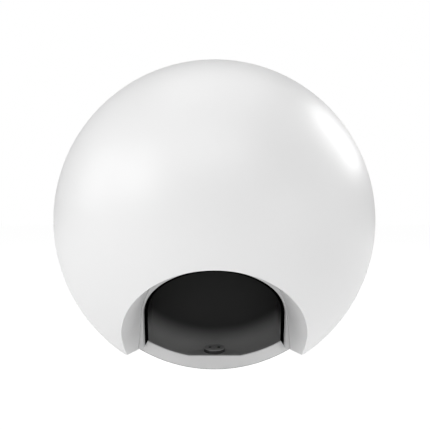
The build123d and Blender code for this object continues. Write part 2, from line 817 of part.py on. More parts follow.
def button_cap(x, y):
    """One round button that follows the ball, with a wider foot under the panel."""
    with BuildPart(mode=Mode.PRIVATE) as cap:
        rod_z(button_r, flange_bottom, ball_r + 1, x, y)
        with Locations(centre):
            Sphere(ball_r + button_proud, mode=Mode.INTERSECT)
        fillet(cap.edges().group_by(Axis.Z)[-1], gap)
        rod_z(button_r + 0.9, flange_bottom, flange_top, x, y)
    return cap.part


with BuildPart() as volume_up_button:
    add(button_cap(*ring_spots[0]))
volume_up_button.part.label = "volume_up_button"
export_step(volume_up_button.part, "parts/volume_up_button.step")

with BuildPart() as action_button:
    add(button_cap(*ring_spots[1]))
action_button.part.label = "action_button"
export_step(action_button.part, "parts/action_button.step")

with BuildPart() as volume_down_button:
    add(button_cap(*ring_spots[2]))
volume_down_button.part.label = "volume_down_button"
export_step(volume_down_button.part, "parts/volume_down_button.step")

with BuildPart() as mic_mute_button:
    add(button_cap(*ring_spots[3]))
mic_mute_button.part.label = "mic_mute_button"
export_step(mic_mute_button.part, "parts/mic_mute_button.step")

switch_half = 2.6
switch_top = 52.4
plunger_r = 1.1
plunger_foot = 51.6
with BuildPart() as switch_bodies:
    for x, y in ring_spots:
        x_span = (x - switch_half, x + switch_half)
        y_span = (y - switch_half, y + switch_half)
        block(x_span, y_span, (board_top, switch_top))
        rod_z(plunger_r + clear, plunger_foot - 0.7, switch_top, x, y, mode=Mode.SUBTRACT)
switch_bodies.part.label = "switch_bodies"
export_step(switch_bodies.part, "parts/switch_bodies.step")

with BuildPart() as volume_up_plunger:
    rod_z(plunger_r, plunger_foot, flange_bottom, ring_spots[0][0], ring_spots[0][1])
volume_up_plunger.part.label = "volume_up_plunger"
export_step(volume_up_plunger.part, "parts/volume_up_plunger.step")

with BuildPart() as action_plunger:
    rod_z(plunger_r, plunger_foot, flange_bottom, ring_spots[1][0], ring_spots[1][1])
action_plunger.part.label = "action_plunger"
export_step(action_plunger.part, "parts/action_plunger.step")

with BuildPart() as volume_down_plunger:
    rod_z(plunger_r, plunger_foot, flange_bottom, ring_spots[2][0], ring_spots[2][1])
volume_down_plunger.part.label = "volume_down_plunger"
export_step(volume_down_plunger.part, "parts/volume_down_plunger.step")

with BuildPart() as mic_mute_plunger:
    rod_z(plunger_r, plunger_foot, flange_bottom, ring_spots[3][0], ring_spots[3][1])
mic_mute_plunger.part.label = "mic_mute_plunger"
export_step(mic_mute_plunger.part, "parts/mic_mute_plunger.step")

led_half = 0.8
led_top = 51.4
with BuildPart() as leds:
    with Locations(centre + Vector(0, 0, (board_top + led_top) / 2)):
        with PolarLocations(led_ring, led_count):
            Box(2 * led_half, 2 * led_half, led_top - board_top)
leds.part.label = "leds"
export_step(leds.part, "parts/leds.step")

with BuildPart() as mic_capsules:
    for x, y in mic_spots:
        block((x - 1.3, x + 1.3), (y - 1.3, y + 1.3), (board_top, board_top + 1.0))
mic_capsules.part.label = "mic_capsules"
export_step(mic_capsules.part, "parts/mic_capsules.step")

# ---------------------------------------------------------------- ballast, base and foot
ballast_front = 18.4
ballast_top = -36.0
ballast_inset = plinth_wall + 0.8
base_top = plinth_bottom + base_t
base_spots = ((-9.0, 21.0), (9.0, 21.0), (0.0, 28.5))

with BuildPart() as ballast_weight:
    with BuildSketch(at_height(base_top)):
        add(foot_outline(ballast_inset))
    extrude(amount=ballast_top - base_top)
    block((-ball_r, ball_r), (ballast_front, ball_r), (-ball_r, ball_r), mode=Mode.INTERSECT)
    for x, y in base_spots:
        rod_z(screw_r, base_top, base_top + 9, x, y, mode=Mode.SUBTRACT)
ballast_weight.part.label = "ballast_weight"
export_step(ballast_weight.part, "parts/ballast_weight.step")

with BuildPart() as base_plate:
    with BuildSketch(at_height(plinth_bottom)):
        add(foot_outline(plinth_wall + gap / 2))
    extrude(amount=base_t)
    for x, y in base_spots:
        rod_z(screw_r + gap, plinth_bottom, base_top, x, y, mode=Mode.SUBTRACT)
        rod_z(head_r + gap, plinth_bottom, plinth_bottom + 1, x, y, mode=Mode.SUBTRACT)
base_plate.part.label = "base_plate"
export_step(base_plate.part, "parts/base_plate.step")

with BuildPart() as base_screws:
    for x, y in base_spots:
        rod_z(head_r, plinth_bottom + gap / 2, plinth_bottom + 1, x, y)
        rod_z(screw_r - gap / 2, plinth_bottom + 1, base_top + 7, x, y)
base_screws.part.label = "base_screws"
export_step(base_screws.part, "parts/base_screws.step")

with BuildPart() as rubber_foot:
    with BuildSketch(at_height(-ball_z)):
        add(foot_outline(0.5))
    extrude(amount=foot_t)
    fillet(rubber_foot.edges().group_by(Axis.Z)[0], 0.5)
    with Locations(centre):
        Sphere(ball_r + gap, mode=Mode.SUBTRACT)
rubber_foot.part.label = "rubber_foot"
export_step(rubber_foot.part, "parts/rubber_foot.step")

# ---------------------------------------------------------------- leads
lead_r = 0.4
bend_r = 1.2


def lead(points):
    """Round wire along a path with rounded corners."""
    with BuildPart(mode=Mode.PRIVATE) as wire:
        with BuildLine() as path:
            FilletPolyline([centre + Vector(point) for point in points], radius=bend_r)
        with BuildSketch(Plane(origin=path.line @ 0, z_dir=path.line % 0)):
            Circle(lead_r)
        sweep(path=path.line)
    return wire.part


with BuildPart() as speaker_leads:
    for x in (-1.2, 1.2):
        add(lead([(x, plug_front, 6), (x, -9, 6), (x, -3, 8), (x, 3, 6), (x, box_back, 6)]))
speaker_leads.part.label = "speaker_leads"
export_step(speaker_leads.part, "parts/speaker_leads.step")

lead_y = (tray_back + tray_wall + box_back) / 2
lead_over = -9.2
lead_under = -56.65
power_plug_z = -4.5
with BuildPart() as power_leads:
    for x in (2.8, 5.2):
        under_tray = [(x - 4, 9.1, lead_under), (x - 4, 10.8, lead_under), (x, 14.2, -55.3)]
        up_behind = [(x, lead_y, -50), (x, lead_y, lead_over), (x, -9.5, lead_over)]
        to_plug = [(x, -13, power_plug_z), (x, plug_front, power_plug_z)]
        add(lead(under_tray + up_behind + to_plug))
power_leads.part.label = "power_leads"
export_step(power_leads.part, "parts/power_leads.step")

ribbon_half = 5.0
ribbon_t = 0.3
ribbon_y = main_front + 1.2
ribbon_bend_z = 43.0
ribbon_end_y = -14.0
with BuildPart() as ribbon_cable:
    with BuildSketch(side):
        with BuildLine():
            FilletPolyline(
                (ribbon_y, socket_high),
                (ribbon_y, ribbon_bend_z),
                (ribbon_end_y, ribbon_bend_z + 2),
                (ribbon_end_y, board_bottom),
                radius=bend_r,
            )
        trace(line_width=ribbon_t)
    extrude(amount=ribbon_half, both=True)
ribbon_cable.part.label = "ribbon_cable"
export_step(ribbon_cable.part, "parts/ribbon_cable.step")
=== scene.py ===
"""Looks of the ball-shaped smart speaker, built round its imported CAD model, in metres."""

import json
import math

import bmesh
import bpy
from mathutils import Matrix, Vector


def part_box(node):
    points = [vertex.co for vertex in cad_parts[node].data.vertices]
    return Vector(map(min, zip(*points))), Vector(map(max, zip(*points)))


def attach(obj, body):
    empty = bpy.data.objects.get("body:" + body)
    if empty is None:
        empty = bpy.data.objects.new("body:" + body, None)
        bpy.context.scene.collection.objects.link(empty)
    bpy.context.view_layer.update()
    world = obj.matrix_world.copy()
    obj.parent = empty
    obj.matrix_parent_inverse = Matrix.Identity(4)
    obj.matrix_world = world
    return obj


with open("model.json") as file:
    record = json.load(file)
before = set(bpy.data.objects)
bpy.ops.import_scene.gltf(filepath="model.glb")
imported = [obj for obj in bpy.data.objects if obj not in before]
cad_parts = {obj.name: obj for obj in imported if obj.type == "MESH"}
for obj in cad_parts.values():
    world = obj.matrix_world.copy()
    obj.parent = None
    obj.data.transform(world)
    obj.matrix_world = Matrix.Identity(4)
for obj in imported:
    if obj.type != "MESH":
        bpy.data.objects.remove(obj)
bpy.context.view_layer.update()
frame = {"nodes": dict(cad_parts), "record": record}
scene = bpy.context.scene
nodes = frame["nodes"]

# ---------------------------------------------------------------- driving sizes, from the frame
MM = 0.001
front_low, front_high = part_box("front_shell")
ball_radius = front_high[0]
ball_centre = Vector((0.0, 0.0, front_high[1] + MM))


# ---------------------------------------------------------------- small helpers for node trees
def new_group(name, inputs, outputs):
    """An empty shader node group with named sockets, its tree, its input node and its output node."""
    tree = bpy.data.node_groups.new(name, "ShaderNodeTree")
    for label, kind, value in inputs:
        socket = tree.interface.new_socket(name=label, in_out="INPUT", socket_type=kind)
        socket.default_value = value
    for label, kind in outputs:
        tree.interface.new_socket(name=label, in_out="OUTPUT", socket_type=kind)
    return tree, tree.nodes.new("NodeGroupInput"), tree.nodes.new("NodeGroupOutput")


def noise(tree, place, size, detail=2.0):
    """Noise with blobs of about this size, in metres."""
    node = tree.nodes.new("ShaderNodeTexNoise")
    node.inputs["Detail"].default_value = detail
    if isinstance(size, float):
        node.inputs["Scale"].default_value = 1.0 / size
    else:
        per_metre = math_node(tree, "DIVIDE", 1.0, size)
        tree.links.new(per_metre, node.inputs["Scale"])
    tree.links.new(place, node.inputs["Vector"])
    return node.outputs["Fac"]


def math_node(tree, operation, first, second, clamp=False):
    """One Math node on two sockets or numbers."""
    node = tree.nodes.new("ShaderNodeMath")
    node.operation = operation
    node.use_clamp = clamp
    for socket, value in zip(node.inputs, (first, second)):
        if isinstance(value, (int, float)):
            socket.default_value = value
        else:
            tree.links.new(value, socket)
    return node.outputs[0]


def spread_round(tree, centre, spread, mask):
    """centre plus spread times a mask that is 0.5 on average."""
    swing = math_node(tree, "SUBTRACT", mask, 0.5)
    return math_node(tree, "ADD", centre, math_node(tree, "MULTIPLY", swing, spread), clamp=True)


def mix_colours(tree, mask, first, second, way="MIX"):
    """Colour mix of two sockets or colours under a mask."""
    node = tree.nodes.new("ShaderNodeMix")
    node.data_type = "RGBA"
    node.blend_type = way
    for label, value in (("Factor_Float", mask), ("A_Color", first), ("B_Color", second)):
        socket = next(s for s in node.inputs if s.identifier == label)
        if isinstance(value, (int, float, tuple)):
            socket.default_value = value
        else:
            tree.links.new(value, socket)
    return next(s for s in node.outputs if s.identifier == "Result_Color")


def bump(tree, height, depth):
    """Normal bent by a height mask, depth in metres."""
    node = tree.nodes.new("ShaderNodeBump")
    node.inputs["Strength"].default_value = 1.0
    if isinstance(depth, float):
        node.inputs["Distance"].default_value = depth
    else:
        tree.links.new(depth, node.inputs["Distance"])
    tree.links.new(height, node.inputs["Height"])
    return node.outputs["Normal"]


def grey_from(tree, value):
    """Grey colour from one value."""
    node = tree.nodes.new("ShaderNodeCombineColor")
    for socket in node.inputs:
        tree.links.new(value, socket)
    return node.outputs[0]


def object_place(tree):
    """Place on the object, in its own metres."""
    return tree.nodes.new("ShaderNodeTexCoord").outputs["Object"]


def object_axes(tree):
    """The place on the object, split into X, Y and Z."""
    parts = tree.nodes.new("ShaderNodeSeparateXYZ")
    tree.links.new(object_place(tree), parts.inputs[0])
    return parts.outputs


def effect_colour(tree):
    """Colour input of the shared effect that feeds a material."""
    return next(node for node in tree.nodes if node.type == "GROUP").inputs["Colour"]


FLOAT, WHOLE = "NodeSocketFloat", "NodeSocketInt"
COLOUR, VECTOR = "NodeSocketColor", "NodeSocketVector"


# ---------------------------------------------------------------- shared effects
def build_moulded_grain():
    """Fine spark-eroded grain of moulded plastic, with a slow drift in tone and gloss."""
    tree, given, out = new_group(
        "moulded_grain",
        (("Colour", COLOUR, (0.8, 0.8, 0.8, 1.0)), ("Tone drift", FLOAT, 0.02),
         ("Roughness", FLOAT, 0.4), ("Gloss drift", FLOAT, 0.08), ("Grain size", FLOAT, 0.0004),
         ("Grain depth", FLOAT, 0.00001), ("Dust", FLOAT, 0.05)),
        (("Colour", COLOUR), ("Roughness", FLOAT), ("Normal", VECTOR)),
    )
    place = object_place(tree)
    slow = noise(tree, place, 0.03)
    patchy = noise(tree, place, 0.006, 4.0)
    grain = noise(tree, place, given.outputs["Grain size"], 3.0)
    # tone
    tone = spread_round(tree, 1.0, given.outputs["Tone drift"], slow)
    toned = mix_colours(tree, 1.0, given.outputs["Colour"], grey_from(tree, tone), "MULTIPLY")
    # dust lies on what faces up
    up = tree.nodes.new("ShaderNodeSeparateXYZ")
    tree.links.new(tree.nodes.new("ShaderNodeNewGeometry").outputs["Normal"], up.inputs[0])
    upward = math_node(tree, "MULTIPLY", math_node(tree, "MAXIMUM", up.outputs["Z"], 0.0), patchy)
    dust = math_node(tree, "MULTIPLY", upward, given.outputs["Dust"], clamp=True)
    dusty = mix_colours(tree, dust, toned, (0.55, 0.53, 0.5, 1.0))
    tree.links.new(dusty, out.inputs["Colour"])
    rough = spread_round(tree, given.outputs["Roughness"], given.outputs["Gloss drift"], patchy)
    tree.links.new(math_node(tree, "ADD", rough, dust, clamp=True), out.inputs["Roughness"])
    tree.links.new(bump(tree, grain, given.outputs["Grain depth"]), out.inputs["Normal"])
    return tree


def build_machined_lines():
    """Fine turned or rolled lines on metal."""
    tree, given, out = new_group(
        "machined_lines",
        (("Colour", COLOUR, (0.6, 0.6, 0.6, 1.0)), ("Line size", FLOAT, 0.0002), ("Roughness", FLOAT, 0.3),
         ("Line depth", FLOAT, 0.000005), ("Stain", FLOAT, 0.15)),
        (("Colour", COLOUR), ("Roughness", FLOAT), ("Normal", VECTOR)),
    )
    place = object_place(tree)
    stretch = tree.nodes.new("ShaderNodeMapping")
    stretch.inputs["Scale"].default_value = (1.0, 0.08, 1.0)
    tree.links.new(place, stretch.inputs["Vector"])
    lines = noise(tree, stretch.outputs[0], given.outputs["Line size"], 2.0)
    blotch = noise(tree, place, 0.004, 4.0)
    stain = math_node(tree, "MULTIPLY", blotch, given.outputs["Stain"], clamp=True)
    stained = mix_colours(tree, stain, given.outputs["Colour"], (0.2, 0.17, 0.14, 1.0))
    tree.links.new(stained, out.inputs["Colour"])
    tree.links.new(spread_round(tree, given.outputs["Roughness"], 0.3, lines), out.inputs["Roughness"])
    tree.links.new(bump(tree, lines, given.outputs["Line depth"]), out.inputs["Normal"])
    return tree


def build_weave():
    """Plain weave of round threads, under and over, with painted shade in the hollows between threads and
    random fuzz in tone.
    """
    tree, given, out = new_group(
        "plain_weave",
        (("Colour", COLOUR, (0.1, 0.1, 0.1, 1.0)), ("Thread", FLOAT, 0.0006), ("Depth", FLOAT, 0.00008)),
        (("Colour", COLOUR), ("Roughness", FLOAT), ("Normal", VECTOR)),
    )
    place = object_place(tree)
    axes = object_axes(tree)
    turns = math_node(tree, "DIVIDE", math.pi, given.outputs["Thread"])
    across = math_node(tree, "SINE", math_node(tree, "MULTIPLY", axes["X"], turns), 0.0)
    along = math_node(tree, "SINE", math_node(tree, "MULTIPLY", axes["Z"], turns), 0.0)
    crossing = math_node(tree, "MULTIPLY", across, along)
    height = math_node(tree, "ABSOLUTE", crossing, 0.0)
    fuzz = noise(tree, place, 0.0015, 3.0)
    # Painted shade: the cloth is painted darker in the hollows between threads and full colour on their
    # crowns, plus random fuzz in tone.
    painted_crown_light_and_fuzz = math_node(tree, "ADD", math_node(tree, "MULTIPLY", height, 0.5),
                    math_node(tree, "MULTIPLY", fuzz, 0.5))
    dark = mix_colours(tree, 1.0, given.outputs["Colour"], (0.35, 0.35, 0.35, 1.0), "MULTIPLY")
    tree.links.new(mix_colours(tree, painted_crown_light_and_fuzz, dark, given.outputs["Colour"]), out.inputs["Colour"])
    tree.links.new(spread_round(tree, 0.85, 0.2, fuzz), out.inputs["Roughness"])
    tree.links.new(bump(tree, height, given.outputs["Depth"]), out.inputs["Normal"])
    return tree


def build_board_tracks():
    """Solder mask over copper tracks, with bare pads."""
    tree, given, out = new_group(
        "board_tracks",
        (("Mask", COLOUR, (0.01, 0.1, 0.05, 1.0)), ("Pitch", FLOAT, 0.0016)),
        (("Colour", COLOUR), ("Roughness", FLOAT), ("Metallic", FLOAT), ("Normal", VECTOR)),
    )
    place = object_place(tree)
    cells = tree.nodes.new("ShaderNodeTexVoronoi")
    cells.distance = "MANHATTAN"
    cells.inputs["Randomness"].default_value = 0.6
    tree.links.new(place, cells.inputs["Vector"])
    tree.links.new(math_node(tree, "DIVIDE", 1.0, given.outputs["Pitch"]), cells.inputs["Scale"])
    bands = math_node(tree, "PINGPONG", math_node(tree, "MULTIPLY", cells.outputs["Distance"], 3.0), 0.5)
    tracks = math_node(tree, "LESS_THAN", bands, 0.16)
    pads = math_node(tree, "LESS_THAN", cells.outputs["Distance"], 0.16)
    light = mix_colours(tree, 1.0, given.outputs["Mask"], (2.0, 1.9, 1.8, 1.0), "MULTIPLY")
    masked = mix_colours(tree, tracks, given.outputs["Mask"], light)
    tree.links.new(mix_colours(tree, pads, masked, (0.8, 0.62, 0.3, 1.0)), out.inputs["Colour"])
    tree.links.new(spread_round(tree, 0.35, 0.15, noise(tree, place, 0.003)), out.inputs["Roughness"])
    tree.links.new(pads, out.inputs["Metallic"])
    tree.links.new(bump(tree, tracks, 0.00003), out.inputs["Normal"])
    return tree


moulded_grain = build_moulded_grain()
machined_lines = build_machined_lines()
plain_weave = build_weave()
board_tracks = build_board_tracks()


# ---------------------------------------------------------------- materials
def material(name, group, settings, fixed):
    """Principled material fed by one shared effect; fixed values sit on the shader itself."""
    made = bpy.data.materials.new(name)
    made.use_nodes = True
    tree = made.node_tree
    shader = tree.nodes["Principled BSDF"]
    effect = tree.nodes.new("ShaderNodeGroup")
    effect.node_tree = group
    for label, value in settings.items():
        effect.inputs[label].default_value = value
    tree.links.new(effect.outputs["Colour"], shader.inputs["Base Color"])
    for label in ("Roughness", "Metallic", "Normal"):
        if label in effect.outputs:
            tree.links.new(effect.outputs[label], shader.inputs[label])
    for label, value in fixed.items():
        shader.inputs[label].default_value = value
    return made


def shade(value, warm=0.0):
    """A grey, very slightly warm or cool."""
    return (value * (1 + warm), value, value * (1 - warm), 1.0)


def moulded(name, colour, roughness, grain, depth, dust=0.04, drift=0.02, gloss_drift=0.08, **fixed):
    """Moulded plastic, rubber or ceramic."""
    return material(name, moulded_grain,
                    {"Colour": colour, "Roughness": roughness, "Grain size": grain, "Grain depth": depth,
                     "Dust": dust, "Tone drift": drift, "Gloss drift": gloss_drift}, fixed)


def metal(name, colour, roughness, line, depth, stain=0.12, **fixed):
    """Machined, rolled or plated metal."""
    return material(name, machined_lines,
                    {"Colour": colour, "Roughness": roughness, "Line size": line, "Line depth": depth,
                     "Stain": stain}, {"Metallic": 1.0, **fixed})


finishes = {
    "white_shell": moulded("satin_white_plastic", shade(0.90), 0.38, 0.0005, 0.000005, 0.03),
    "grey_trim": moulded("light_grey_plastic", shade(0.72), 0.45, 0.0004, 0.000008, 0.03),
    "black_gloss": moulded("black_tray_plastic", shade(0.02), 0.5, 0.0006, 0.000006, 0.0,
                           **{"Specular IOR Level": 0.1}),
    # Black seal rubber with painted shade: near-zero black and no gloss, standing in for the deep shade in
    # the gap between bezel and tray.
    "black_rubber": moulded("black_seal_rubber_painted_gap_shade", shade(0.0015), 0.95, 0.0003, 0.00002, 0.0,
                            **{"Specular IOR Level": 0.0}),
    "foot_rubber": moulded("grey_foot_rubber", shade(0.06), 0.8, 0.0003, 0.00003, 0.08),
    "inner_plastic": moulded("black_inner_plastic", shade(0.02), 0.5, 0.0004, 0.00002, 0.05),
    "diffuser": moulded("frosted_light_guide", shade(0.75, -0.01), 0.5, 0.0003, 0.000008, 0.03,
                        **{"Subsurface Weight": 0.2}),
    "chip": moulded("black_epoxy", shade(0.015), 0.6, 0.0002, 0.00001, 0.05),
    "ferrite": moulded("dark_ferrite", shade(0.035), 0.55, 0.0003, 0.00003, 0.05, 0.2),
    "paper": moulded("pressed_paper_cone", shade(0.02), 0.75, 0.0008, 0.00006, 0.08, 0.3),
    "foam": moulded("sealing_foam", shade(0.025), 0.95, 0.0005, 0.0001, 0.05, 0.2),
    "pad": moulded("thermal_pad", (0.25, 0.35, 0.42, 1.0), 0.7, 0.0005, 0.00003, 0.02),
    "insulation": moulded("red_lead_insulation", (0.5, 0.02, 0.015, 1.0), 0.4, 0.0004, 0.00001, 0.02),
    "flex": moulded("amber_flex_film", (0.45, 0.2, 0.03, 1.0), 0.3, 0.0006, 0.000008, 0.02, 0.2),
    "led": moulded("clear_led_epoxy", (0.85, 0.8, 0.55, 1.0), 0.15, 0.0003, 0.000004, 0.0,
                   **{"Coat Weight": 0.5}),
    "cloth": material("black_sound_cloth", plain_weave,
                      {"Colour": shade(0.03), "Thread": 0.0005, "Depth": 0.0001}, {"Sheen Weight": 0.2}),
    "contact_metal": metal("black_nickel_contacts", (0.03, 0.03, 0.032, 1.0), 0.35, 0.0002, 0.000003),
    "tin": metal("tinned_steel", shade(0.62, 0.01), 0.32, 0.0003, 0.000004, 0.1),
    "steel": metal("zinc_plated_steel", shade(0.5, 0.01), 0.35, 0.0002, 0.000005),
    "ballast_iron": moulded("painted_ballast", shade(0.04), 0.65, 0.0006, 0.00006, 0.1, 0.25),
    "copper": metal("enamelled_copper_winding", (0.6, 0.24, 0.09, 1.0), 0.3, 0.0002, 0.00002, 0.05),
    "board": material("green_circuit_board", board_tracks,
                      {"Mask": (0.006, 0.05, 0.025, 1.0), "Pitch": 0.0022}, {}),
}


def paint_tray_depth_shade(made, dark, pale, inner_r, outer_r):
    """Painted shade and light on the tray: its plastic is painted black deep in the middle and greyer out
    towards the wall of the ball, where light comes in through the mouth of the bay.
    """
    tree = made.node_tree
    middle = tree.nodes.new("ShaderNodeMapping")
    middle.inputs["Location"].default_value = (-ball_centre.x, 0.0, -ball_centre.z)
    middle.inputs["Scale"].default_value = (1.0, 0.0, 1.0)
    tree.links.new(object_place(tree), middle.inputs["Vector"])
    reach = tree.nodes.new("ShaderNodeVectorMath")
    reach.operation = "LENGTH"
    tree.links.new(middle.outputs[0], reach.inputs[0])
    depth_shade_ramp = tree.nodes.new("ShaderNodeMapRange")
    depth_shade_ramp.interpolation_type = "SMOOTHSTEP"
    depth_shade_ramp.inputs["From Min"].default_value = inner_r
    depth_shade_ramp.inputs["From Max"].default_value = outer_r
    tree.links.new(reach.outputs["Value"], depth_shade_ramp.inputs["Value"])
    tree.links.new(mix_colours(tree, depth_shade_ramp.outputs["Result"], dark, pale), effect_colour(tree))


def paint_lit_top_shaded_sides(made, top, dark, height):
    """Painted light and shade on a part: its flat top is painted pale as if lit, its sides painted dark as if
    shaded.
    """
    tree = made.node_tree
    above = math_node(tree, "GREATER_THAN", object_axes(tree)["Z"], height)
    tree.links.new(mix_colours(tree, above, dark, top), effect_colour(tree))


# Painted shade: the tray is painted black deep inside and grey near its rim, standing in for how light falls
# into the bay.
tray_shade_starts = 0.76 * ball_radius
tray_shade_ends = 0.925 * ball_radius
paint_tray_depth_shade(finishes["black_gloss"], shade(0.027), shade(0.33), tray_shade_starts, tray_shade_ends)

for part in frame["record"]["subparts"]:
    for spot in nodes[part["node"]].material_slots:
        spot.material = finishes[part["material_slot"]]

# Painted light and shade on the contact puck: a pale top as if lit and dark sides as if shaded, over the same
# dark plastic.
puck_lit_top_depth = 0.25 * MM
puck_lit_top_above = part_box("contact_puck")[1].z - puck_lit_top_depth
puck_painted_shade_finish = moulded("contact_puck_plastic_painted_shade", shade(0.03), 0.5, 0.0004, 0.000006, 0.0,
                      **{"Specular IOR Level": 0.1})
paint_lit_top_shaded_sides(puck_painted_shade_finish, shade(0.30), shade(0.05), puck_lit_top_above)
nodes["contact_puck"].material_slots[0].material = puck_painted_shade_finish


def parting_line(made, seam_y, half_width):
    """Fine dark joint round the outside of the ball, where its two half shells meet."""
    tree = made.node_tree
    off = math_node(tree, "ABSOLUTE", math_node(tree, "SUBTRACT", object_axes(tree)["Y"], seam_y), 0.0)
    from_middle = tree.nodes.new("ShaderNodeVectorMath")
    from_middle.operation = "DISTANCE"
    from_middle.inputs[1].default_value = ball_centre
    tree.links.new(object_place(tree), from_middle.inputs[0])
    outside = math_node(tree, "GREATER_THAN", from_middle.outputs["Value"], ball_radius - half_width)
    joint = math_node(tree, "MULTIPLY", math_node(tree, "LESS_THAN", off, half_width), outside)
    colour = effect_colour(tree)
    tree.links.new(mix_colours(tree, joint, tuple(colour.default_value), shade(0.12)), colour)


shell_finish = finishes["white_shell"].copy()
shell_finish.name = "jointed_white_plastic"
joint_half_width = 0.12 * MM
parting_line(shell_finish, front_low[1], joint_half_width)
for name in ("front_shell", "rear_shell"):
    nodes[name].material_slots[0].material = shell_finish


# ---------------------------------------------------------------- raised marks on the buttons
mark_height = 0.06 * MM
mark_depth = 0.15 * MM
cap_radius = 60.3 * MM


def arc_points(centre, radius, start, sweep, steps):
    """Points on an arc, angles in degrees."""
    angles = [math.radians(start + sweep * i / steps) for i in range(steps + 1)]
    return [(centre[0] + radius * math.cos(a), centre[1] + radius * math.sin(a)) for a in angles]


def bar_outline(length, width, turn=0.0, steps=8):
    """Bar with round ends, centred on the mark's middle."""
    reach = length / 2 - width / 2
    ends = (arc_points((reach, 0), width / 2, -90, 180, steps)
            + arc_points((-reach, 0), width / 2, 90, 180, steps))
    c, s = math.cos(turn), math.sin(turn)
    return [(x * c - y * s, x * s + y * c) for x, y in ends]


def plus_outline(length, width, steps=8):
    """Plus sign with round ends."""
    reach = length / 2 - width / 2
    points = []
    for quarter in range(4):
        c, s = (1, 0, -1, 0)[quarter], (0, 1, 0, -1)[quarter]
        arm = [(width / 2, -width / 2)] + arc_points((reach, 0), width / 2, -90, 180, steps)
        points += [(x * c - y * s, x * s + y * c) for x, y in arm]
    return points


def ring_outline(radius, steps=40):
    """Closed circle."""
    return arc_points((0, 0), radius, 0, 360.0 * (steps - 1) / steps, steps - 1)


def raised_mark(name, outlines, spot, body):
    """Low raised marks on a button: outlines wrapped on the ball, where a pair of circles makes a ring."""
    mesh = bmesh.new()

    def on_ball(x, y, height):
        px, py = spot[0] + x, spot[1] + y
        rise = math.sqrt((cap_radius + height) ** 2 - px**2 - py**2)
        return mesh.verts.new((px, py, ball_centre.z + rise))

    for outline in outlines:
        hollow = isinstance(outline, tuple)
        loops = outline if hollow else (outline,)
        tops = [[on_ball(x, y, mark_height) for x, y in loop] for loop in loops]
        lows = [[on_ball(x, y, -mark_depth) for x, y in loop] for loop in loops]
        for high, low in zip(tops, lows):
            for i in range(len(high)):
                j = (i + 1) % len(high)
                mesh.faces.new((high[i], low[i], low[j], high[j]))
        if hollow:
            for level in (tops, lows):
                for i in range(len(level[0])):
                    j = (i + 1) % len(level[0])
                    mesh.faces.new((level[0][i], level[0][j], level[1][j], level[1][i]))
        else:
            mesh.faces.new(tops[0])
            mesh.faces.new(lows[0][::-1])
    bmesh.ops.recalc_face_normals(mesh, faces=mesh.faces)
    bmesh.ops.triangulate(mesh, faces=[face for face in mesh.faces if len(face.verts) > 4])
    data = bpy.data.meshes.new(name)
    mesh.to_mesh(data)
    mesh.free()
    data.materials.append(mark_finish)
    piece = bpy.data.objects.new(name, data)
    scene.collection.objects.link(piece)
    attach(piece, body)


def middle_of(node):
    """Middle of a node's box."""
    low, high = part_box(node)
    return [(a + b) / 2 for a, b in zip(low, high)]


mark_finish = moulded("mark_grey_plastic", shade(0.30), 0.5, 0.0003, 0.000004, 0.0)
mark_size = 3.2 * MM
stroke = 0.5 * MM
capsule_width = 0.42 * mark_size
button_marks = {
    "volume_up": plus_outline(mark_size, stroke),
    "volume_down": bar_outline(mark_size, stroke),
    "action": (ring_outline(mark_size / 2), ring_outline(mark_size / 2 - stroke)),
    "mic_mute": bar_outline(mark_size, capsule_width, math.pi / 2),
}
for button, outline in button_marks.items():
    raised_mark(button + "_mark", [outline], middle_of(button + "_button"), button)


# ---------------------------------------------------------------- rows of small parts, by geometry nodes
def tree_node(tree, kind, **values):
    """A geometry node with some inputs set by label; sockets are linked, numbers are set."""
    node = tree.nodes.new(kind)
    for label, value in values.items():
        socket = node.inputs[label.replace("_", " ")]
        if isinstance(value, bpy.types.NodeSocket):
            tree.links.new(value, socket)
        else:
            socket.default_value = value
    return node


def geometry_tree(name, inputs):
    """An empty geometry node tree that takes these named inputs and gives a geometry."""
    tree = bpy.data.node_groups.new(name, "GeometryNodeTree")
    for label, kind, value in inputs:
        socket = tree.interface.new_socket(name=label, in_out="INPUT", socket_type=kind)
        socket.default_value = value
    tree.interface.new_socket(name="Finish", in_out="INPUT", socket_type="NodeSocketMaterial")
    tree.interface.new_socket(name="Geometry", in_out="OUTPUT", socket_type="NodeSocketGeometry")
    given, out = tree.nodes.new("NodeGroupInput"), tree.nodes.new("NodeGroupOutput")
    return tree, given.outputs, out.inputs["Geometry"]


def finish_tree(tree, geometry, finish, out):
    """Realize the instances, give them their material and put them out."""
    real = tree_node(tree, "GeometryNodeRealizeInstances", Geometry=geometry)
    done = tree_node(tree, "GeometryNodeSetMaterial", Geometry=real.outputs[0], Material=finish)
    tree.links.new(done.outputs[0], out)


def build_chip_rows():
    """Grid of small box-shaped parts with some of them left out."""
    tree, given, out = geometry_tree("chip_rows", (
        ("Width", FLOAT, 0.02), ("Depth", FLOAT, 0.01), ("Columns", WHOLE, 6), ("Rows", WHOLE, 4),
        ("Part length", FLOAT, 0.0016), ("Part width", FLOAT, 0.0008), ("Part height", FLOAT, 0.0005),
        ("Left out", FLOAT, 0.3), ("Seed", WHOLE, 1)))
    grid = tree_node(tree, "GeometryNodeMeshGrid", Size_X=given["Width"], Size_Y=given["Depth"],
                     Vertices_X=given["Columns"], Vertices_Y=given["Rows"])
    chance = tree_node(tree, "FunctionNodeRandomValue", Seed=given["Seed"])
    missing = tree_node(tree, "FunctionNodeCompare", A=chance.outputs[1], B=given["Left out"])
    missing.operation = "GREATER_THAN"
    size = tree_node(tree, "ShaderNodeCombineXYZ", X=given["Part length"], Y=given["Part width"],
                     Z=given["Part height"])
    part = tree_node(tree, "GeometryNodeMeshCube", Size=size.outputs[0])
    placed = tree_node(tree, "GeometryNodeInstanceOnPoints", Points=grid.outputs[0],
                       Selection=missing.outputs[0], Instance=part.outputs[0])
    finish_tree(tree, placed.outputs[0], given["Finish"], out)
    return tree


